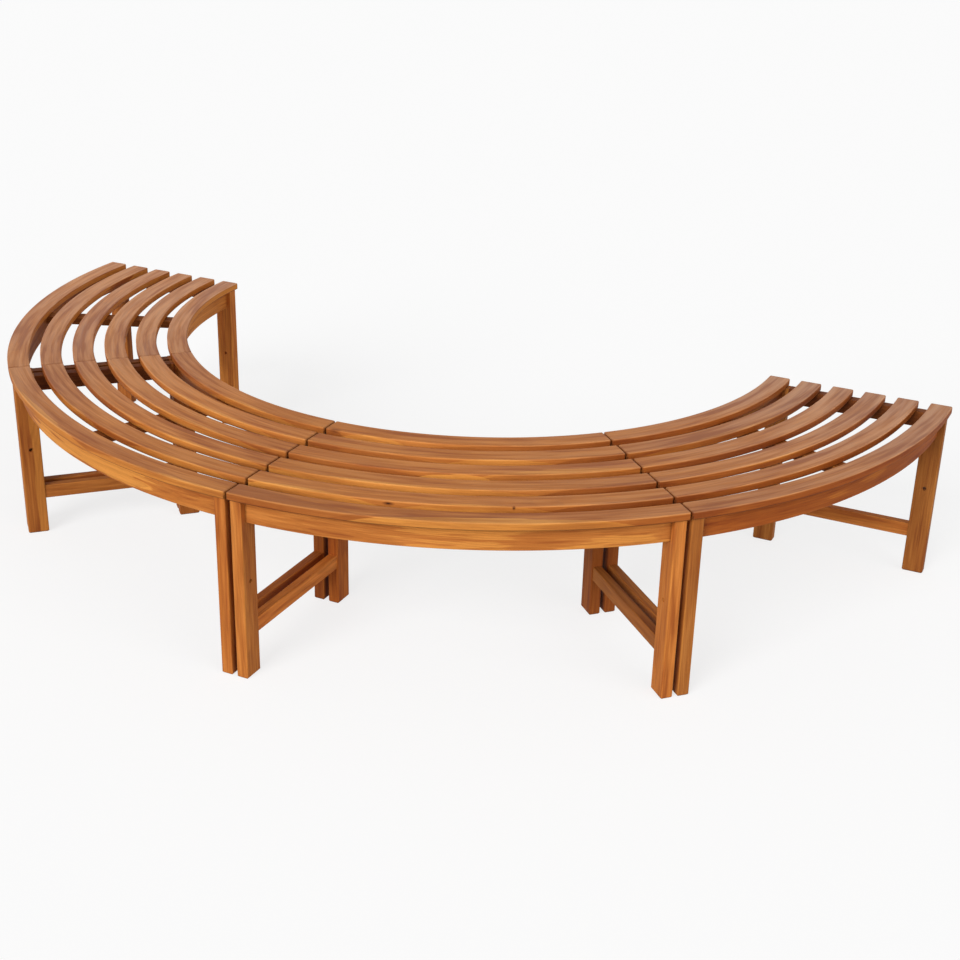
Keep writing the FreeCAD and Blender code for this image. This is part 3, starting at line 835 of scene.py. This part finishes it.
@dataclass(frozen=True)
class SeatSlats:
    """The slats of the four seats: concentric curved boards, flush on top.

    Args:
        count: slats in one bench.
        width: size across, along the ring's radius.
        gap: clear gap between two slats.
        thickness: size from top to bottom.
        seat_height: height of the tops.
        corner: rounding of the four corners of a slat, seen from above.
        edge: rounding of the long edges.
        stations: parts that a slat's length is divided into.
        steps: parts of each rounding.
        support: distance from a rounding to the extra points that keep the flats' shading flat.
    """

    count: int = 6
    width: float = 0.053
    gap: float = 0.0286
    thickness: float = 0.018
    seat_height: float = 0.450
    corner: float = 0.0045
    edge: float = 0.003
    stations: int = 72
    steps: int = 5
    support: float = 0.0006

    @property
    def step(self) -> float:
        """Distance from one slat to the next."""
        return self.width + self.gap

    @property
    def underside(self) -> float:
        """Height of the slats' undersides."""
        return self.seat_height - self.thickness

    @property
    def inner_radius(self) -> float:
        """Inner edge of the seat."""
        return RING.outer_radius - self.count * self.step + self.gap

    @property
    def middle_radius(self) -> float:
        """Middle of the seat."""
        return (self.inner_radius + RING.outer_radius) / 2

    def middle_of(self, row: int) -> float:
        """Radius of a slat's middle line, the rows counted from 1 at the inner edge of the seat."""
        return self.inner_radius + (row - 1) * self.step + self.width / 2

    def section(self, half_wide: np.ndarray, half_high: np.ndarray) -> tuple[np.ndarray, np.ndarray]:
        """Work out the cross-section: a rectangle whose corners are quarter circles.

        Each corner point is the corner circle's centre plus its radius at an angle that runs through a
        quarter turn. A point just before and just after it on the flats keeps the flats' shading flat.
        Places are complex numbers, across plus up times 1j, so a quarter turn multiplies them by 1j.

        Args:
            half_wide: half of the width, for each station along the slat.
            half_high: half of the height, for each station.

        Returns:
            Places across and up, each with a row for each station and a column for each point.
        """
        arc = self.edge * np.exp(1j * np.linspace(0.0, math.pi / 2, self.steps + 1))
        before, after = self.edge - 1j * self.support, 1j * self.edge - self.support
        turns = np.array([1, 1j, -1, -1j])[:, None]
        centres, arcs = turns * (1 + 1j), turns * np.concatenate([[before], arc, [after]])
        wide = centres.real * (half_wide[:, None, None] - self.edge) + arcs.real
        high = centres.imag * (half_high[:, None, None] - self.edge) + arcs.imag
        return wide.reshape(len(half_wide), -1), high.reshape(len(half_high), -1)

    def surface(self, bench: int, row: int) -> Surface:
        """Work out a slat as a section carried round the ring.

        A station lies parallel to the end plane: at radius r, the place at a distance d inside the plane
        has the angle half - asin(d / r) from the bench's middle. Near an end the section draws in like a
        quarter circle, and between the ends the stations are spread evenly.

        Args:
            bench: number of the bench, from 0.
            row: number of the slat, from 1 at the inner edge of the seat.

        Returns:
            The points, the four-sided faces and the two end faces.
        """
        reach = max(self.corner, self.edge)
        ramp = reach * (1 - np.cos(np.linspace(0.0, math.pi / 2, self.steps + 1)))
        ends = np.append(ramp, reach + self.support)
        inner = np.linspace(-1.0, 1.0, self.stations + 1)[1:-1]
        depth = np.concatenate([ends[:1], ends, np.full(inner.size, ends[-1]), ends[::-1], ends[:1]])
        share = np.concatenate([np.full(ends.size + 1, -1.0), inner, np.full(ends.size + 1, 1.0)])
        across, up = self.section(self.width / 2 - eased(depth, self.corner),
                                  self.thickness / 2 - eased(depth, self.edge))
        # The first and last stations are drawn into the end faces and keep the ends' shading flat.
        across[[0, -1]] *= 1 - 4 * self.support / self.width
        up[[0, -1]] *= 1 - 4 * self.support / self.thickness
        radius = self.middle_of(row) + across
        turn = share[:, None] * (RING.half_angle - np.arcsin((RING.joint_gap + depth)[:, None] / radius))
        angle = RING.middle_of(bench) + turn
        points = np.stack([radius * np.cos(angle), RING.centre_y + radius * np.sin(angle),
                           self.underside + self.thickness / 2 + up], axis=-1)
        number = np.arange(radius.size).reshape(radius.shape)
        after = np.roll(number, -1, axis=1)
        sides = np.stack([number[:-1], after[:-1], after[1:], number[1:]], axis=-1).reshape(-1, 4)
        return points.reshape(-1, 3), sides, [number[0, ::-1].tolist(), number[-1].tolist()]

    def place(self, node: str, surface: Surface, finish: bpy.types.Material) -> None:
        """Put one slat into the scene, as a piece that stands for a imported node.

        Args:
            node: the node.
            surface: the slat's points, four-sided faces and end faces.
            finish: its wood.
        """
        points, sides, caps = surface
        mesh = bpy.data.meshes.new(f"{node}_board")
        mesh.from_pydata(points, [], sides.tolist() + caps)
        mesh.polygons.foreach_set("use_smooth", np.ones(len(mesh.polygons), dtype=bool))
        mesh.materials.append(finish)
        mesh.update()
        piece = bpy.data.objects.new(f"{node}_board", mesh)
        bpy.context.scene.collection.objects.link(piece)
        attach(piece, BODY)
        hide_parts(node)
        log.info("%s: %d faces", piece.name, len(mesh.polygons))

    def build(self) -> None:
        """Make every slat and dress it."""
        # Painted light on the seat: a paler painted sheen on the tops, strongest towards both ends of the
        # ring, and painted shade on the sides.
        finish = OiledWood(
            "seat wood", Timber(Member.SLAT, (self.width, self.thickness), self.edge),
            smooth=True, ring_share=0.10, seed=1.0,
            shades=(1.04, 1.02, 0.925, 1.05, 0.965, 1.01, 0.96, 0.965, 0.88),
            dryness=(0.18, 0.178, 0.118, 0.057, 0.036, 0.036, 0.075, 0.140, 0.22),
            oiliness=(0.6, 0.6, 0.55, 0.42, 0.28, 0.16, 0.7, 1.0, 0.65)).build()
        for bench, letter in enumerate(RING.benches):
            for row in range(1, self.count + 1):
                self.place(f"bench_{letter}_slat_{row}", self.surface(bench, row), finish)


SLATS = SeatSlats()


# The knots that stand out, and the clearest streaks along the slats' outer edges.
KNOTS = (
    Knot(1.1932, -74.4, 0.4435, 0.010, 0.0035),
    Knot(0.8630, -88.2, 0.4460, 0.014, 0.0050),
    Knot(1.1930, -61.8, 0.4465, 0.003, 0.0040),
)

FLAMES = (
    Flame(1, 6, 40.0, 92.0, 0.045, 0.22, Wood.HEART),
    Flame(1, 6, 47.0, 72.0, 0.014, 0.50),
    Flame(1, 6, 70.0, 96.0, 0.008, 0.45),
    Flame(2, 6, 72.0, 107.0, 0.050, 0.40, Wood.HEART),
    Flame(2, 6, 100.0, 129.0, 0.033, 0.35, Wood.HEART),
    Flame(2, 6, 102.0, 130.0, 0.026, 0.72),
    Flame(1, 5, 51.5, 68.0, 0.008, 0.47),
    Flame(1, 5, 72.0, 89.0, 0.007, 0.47),
    Flame(2, 5, 88.3, 105.2, 0.010, 0.72),
    Flame(2, 5, 106.0, 123.0, 0.007, 0.55),
    Flame(2, 5, 120.0, 142.0, 0.006, 0.55, Wood.HEART),
    Flame(1, 4, 44.0, 72.0, 0.004, 0.40, Wood.HEART),
    Flame(1, 4, 66.0, 94.0, 0.009, 0.38),
    Flame(2, 4, 85.0, 123.5, 0.009, 0.48),
    Flame(2, 4, 120.0, 148.0, 0.014, 0.50, Wood.HEART),
    Flame(1, 3, 60.0, 88.0, 0.010, 0.38),
    Flame(2, 3, 113.0, 137.0, 0.026, 0.45),
    Flame(2, 3, 112.0, 137.0, 0.004, 0.40, Wood.HEART),
    Flame(2, 3, 84.0, 110.0, 0.003, 0.40, Wood.HEART),
    Flame(2, 3, 106.5, 117.0, 0.001, 0.65),
    Flame(3, 3, 132.0, 166.0, 0.002, 0.50, Wood.HEART),
    Flame(1, 2, 56.0, 86.0, 0.012, 0.40),
    Flame(2, 2, 82.0, 110.5, 0.003, 0.35, Wood.HEART),
    Flame(2, 2, 109.0, 126.0, 0.004, 0.50),
    Flame(2, 2, 123.0, 150.0, 0.008, 0.50, Wood.HEART),
    Flame(3, 2, 136.0, 170.0, 0.012, 0.35),
    Flame(1, 1, 63.0, 86.0, 0.008, 0.42),
    Flame(2, 1, 86.0, 94.0, 0.004, 0.50, Wood.HEART),
    Flame(2, 1, 92.0, 104.0, 0.003, 0.60),
    Flame(2, 1, 103.0, 150.0, 0.004, 0.40, Wood.HEART),
)


@dataclass(frozen=True)
class Frame:
    """Legs, aprons, stretchers, end rails and bearers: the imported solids, dressed in wood and steel.

    Args:
        leg: the legs, their section along the ring's radius and along the seat.
        apron: the aprons, along the radius and upright.
        rail: the end rails, upright and along the seat.
        stretcher: the low stretchers, upright and along the seat.
        bearer: the middle bearers, along the seat and upright.
        margin: distance from the seat's edge to a leg.
        set_in: distance from the end plane to a leg.
        stretcher_bottom: height of the stretchers' undersides.
    """

    leg: Timber = Timber(Member.LEG, (0.052, 0.028), edge=0.003)
    apron: Timber = Timber(Member.APRON, (0.022, 0.055), edge=0.0025)
    rail: Timber = Timber(Member.RAIL, (0.040, 0.024), edge=0.0015)
    stretcher: Timber = Timber(Member.RAIL, (0.035, 0.022), edge=0.002)
    bearer: Timber = Timber(Member.BEARER, (0.038, 0.020), edge=0.0015)
    margin: float = 0.007
    set_in: float = 0.006
    stretcher_bottom: float = 0.095

    @property
    def outer_middle(self) -> float:
        """Radius of the outer legs' middle, and of the outer apron's."""
        return RING.outer_radius - self.margin - self.leg.section[0] / 2

    @property
    def inner_middle(self) -> float:
        """Radius of the inner legs' middle, and of the inner apron's."""
        return SLATS.inner_radius + self.margin + self.leg.section[0] / 2

    @property
    def leg_inset(self) -> float:
        """Distance from the end plane to a leg's middle."""
        return self.set_in + self.leg.section[1] / 2

    @property
    def inside(self) -> float:
        """Distance from the end plane to a leg's inner side, where the aprons start."""
        return self.set_in + self.leg.section[1]

    @property
    def rail_level(self) -> float:
        """Height of the end rails' middle."""
        return SLATS.underside - self.rail.section[0] / 2

    @property
    def stretcher_level(self) -> float:
        """Height of the stretchers' middle."""
        return self.stretcher_bottom + self.stretcher.section[0] / 2

    def finishes(self) -> dict[str, bpy.types.Material]:
        """Make the finishes.

        Returns:
            Part of a node's name to the finish of the nodes that have it.
        """
        leg = {"timber": self.leg, "seed": 2.0, "spread": 0.3, "sap_side": -1.0}
        apron = {"timber": self.apron, "seed": 3.0, "sap_share": 0.55}
        woods = {
            # The legs' and aprons' brightness and deepening round the ring are partly the wood's tone and
            # partly painted light and shade.
            "outer_leg": OiledWood(
                "outer leg wood", **leg, oiliness=(0.5, 0.35, 0.15, 0.05),
                shades=(0.80, 0.80, 0.84, 1.06, 1.02, 1.16, 0.76, 0.71),
                sap_limits=(0.030, -0.002, 0.036, 0.030)),
            # Painted light and shade: the inner legs under the seat are painted darker and deeper where
            # shade falls, and lighter where light falls, as on the first bench's free end.
            "inner_leg": OiledWood(
                "inner leg wood", **leg, oiliness=(0.0, 0.5, 0.5, 0.9, 0.8, 0.8, 0.9, 0.05),
                shades=(1.30, 0.80, 0.80, 0.74, 1.28, 0.74, 0.70, 0.86),
                sap_limits=(0.030,)),
            "outer_apron": OiledWood(
                "outer apron wood", **apron, oiliness=(0.5, 0.0, 0.12, 0.9),
                shades=(0.92, 1.01, 0.98, 0.95), sap_limits=(0.012, 0.006, 0.008, 0.012)),
            # Painted light: the first bench's inner apron is painted lighter, with no deepening and more
            # sapwood, as light falling on it at the free end.
            "inner_apron": OiledWood(
                "inner apron wood", **apron, oiliness=(0.0, 0.3, 0.3, 0.5),
                shades=(1.12, 1.01, 0.98, 0.95), sap_limits=(-0.004, 0.006, 0.008, 0.012)),
            # Painted shade: the end rails under the seat are painted dark, as the shade there.
            "end_rails": OiledWood("rail wood", self.rail, seed=4.0, shades=(0.50,), oiliness=(0.8,)),
            # Painted light and shade: the stretchers' brightness at each end is partly the wood's tone and
            # partly painted light and shade, lighter where light falls in under the seat.
            "stretchers": OiledWood(
                "stretcher wood", self.stretcher, seed=5.0, spread=0.3, oiliness=(0.3,),
                shades=(0.90, 0.90, 0.84, 1.15, 1.60, 0.68, 0.78, 1.08)),
            # Painted shade: the bearers under the seat are painted darker, as the shade there.
            "bearers": OiledWood("bearer wood", self.bearer, seed=6.0, shades=(0.65,)),
        }
        return {part: wood.build() for part, wood in woods.items()} | {"screws": PlainSteel().build()}

    def dress(self) -> None:
        """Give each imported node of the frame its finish."""
        finishes = self.finishes()
        for name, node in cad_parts.items():
            for part, finish in finishes.items():
                if part in name:
                    for slot in node.material_slots:
                        slot.material = finish
                    log.info("%s: dressed in %s", name, finish.name)


FRAME = Frame()


@dataclass(frozen=True)
class Studio:
    """A pale floor, soft light and the camera.

    Args:
        camera_place: the camera's place.
        yaw: turn of the view from +Y towards +X, in degrees.
        pitch: how far the view looks down, in degrees.
        roll: tilt of the picture, in degrees.
        lens: focal length, in millimetres.
        film: width of the picture behind the lens, in millimetres.
        sight: how far the camera sees.
        sky: strength of the light from all round.
        floor_paint: how much of the light the floor throws back up, as a colour.
        floor_glow: how much of the floor that shows is plain white, with no shadow.
        floor_reach: distance from the origin to the floor's sides.
    """

    camera_place: Place = (1.7111, -3.0638, 1.789)
    yaw: float = -24.832
    pitch: float = 23.919
    roll: float = 1.536
    lens: float = 57.62
    film: float = 36.0
    sight: float = 60.0
    sky: float = 0.34
    floor_paint: Colour = (0.45, 0.45, 0.45)
    floor_glow: float = 0.75
    floor_reach: float = 40.0

    def camera(self) -> None:
        """Make the camera: its axes are worked out from yaw and pitch, then turned by the roll."""
        yaw, pitch, roll = (math.radians(angle) for angle in (self.yaw, self.pitch, self.roll))
        ahead = Vector((math.sin(yaw) * math.cos(pitch), math.cos(yaw) * math.cos(pitch), -math.sin(pitch)))
        level = Vector((math.cos(yaw), -math.sin(yaw), 0.0))
        upward = level.cross(ahead)
        right = math.cos(roll) * level + math.sin(roll) * upward
        over = -math.sin(roll) * level + math.cos(roll) * upward
        turn = Matrix((right, over, -ahead)).transposed()
        data = bpy.data.cameras.new("camera")
        data.lens = self.lens
        data.sensor_width = self.film
        data.clip_end = self.sight
        camera = bpy.data.objects.new("camera", data)
        camera.matrix_world = Matrix.Translation(self.camera_place) @ turn.to_4x4()
        bpy.context.scene.collection.objects.link(camera)
        bpy.context.scene.camera = camera

    def lamp(self, name: str, azimuth: float, elevation: float, softness: float, strength: float) -> None:
        """Add one far lamp whose light is the same all over the floor.

        Args:
            name: the lamp's name.
            azimuth: where it stands, in degrees from +X towards +Y.
            elevation: how high it stands, in degrees above the floor.
            softness: the angle that it fills, in degrees.
            strength: how bright a white surface facing it becomes.
        """
        data = bpy.data.lights.new(name, "SUN")
        data.energy = strength * math.pi
        data.angle = math.radians(softness)
        lamp = bpy.data.objects.new(name, data)
        turn, rise = math.radians(azimuth), math.radians(elevation)
        towards = Vector((math.cos(turn) * math.cos(rise), math.sin(turn) * math.cos(rise), math.sin(rise)))
        lamp.rotation_euler = towards.to_track_quat("Z", "Y").to_euler()
        bpy.context.scene.collection.objects.link(lamp)

    def world(self) -> None:
        """Even pale light from all round, and white where the camera sees past the floor."""
        graph = Graph(bpy.data.worlds.new("studio"))
        level = graph.field("MapRange", {0: graph.seen(), 3: self.sky, 4: 1.0})
        back = graph.field("Background", {"Color": WHITE, "Strength": level})
        bpy.context.scene.world = graph.finish(back)

    def floor(self) -> None:
        """A wide white floor that keeps the benches' soft shadow, and throws little light back up."""
        graph = Graph(bpy.data.materials.new("floor"))
        paint = graph.field("BsdfDiffuse", {"Color": (*self.floor_paint, 1.0)})
        chalk = graph.field("BsdfDiffuse", {"Color": WHITE})
        glow = graph.field("Emission", {"Color": WHITE, "Strength": 1.0})
        shown = graph.field("MixShader", {0: self.floor_glow, 1: chalk, 2: glow})
        shader = graph.field("MixShader", {0: graph.seen(), 1: paint, 2: shown})
        reach = self.floor_reach
        points = [(-reach, -reach, 0.0), (reach, -reach, 0.0), (reach, reach, 0.0), (-reach, reach, 0.0)]
        mesh = bpy.data.meshes.new("floor")
        mesh.from_pydata(points, [], [(0, 1, 2, 3)])
        mesh.materials.append(graph.finish(shader))
        floor = bpy.data.objects.new("floor", mesh)
        bpy.context.scene.collection.objects.link(floor)

    def build(self) -> None:
        """Set up the whole studio."""
        bpy.context.scene.view_settings.view_transform = "Standard"
        self.camera()
        self.world()
        self.floor()
        self.lamp("key", azimuth=262.0, elevation=26.0, softness=35.0, strength=0.86)
        self.lamp("fill", azimuth=342.0, elevation=20.0, softness=50.0, strength=0.38)


def main() -> None:
    """Build the benches and the studio in order."""
    logging.basicConfig(level=logging.INFO, format="%(message)s")
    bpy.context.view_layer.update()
    SLATS.build()
    FRAME.dress()
    Studio().build()


if __name__ == "__main__":
    main()
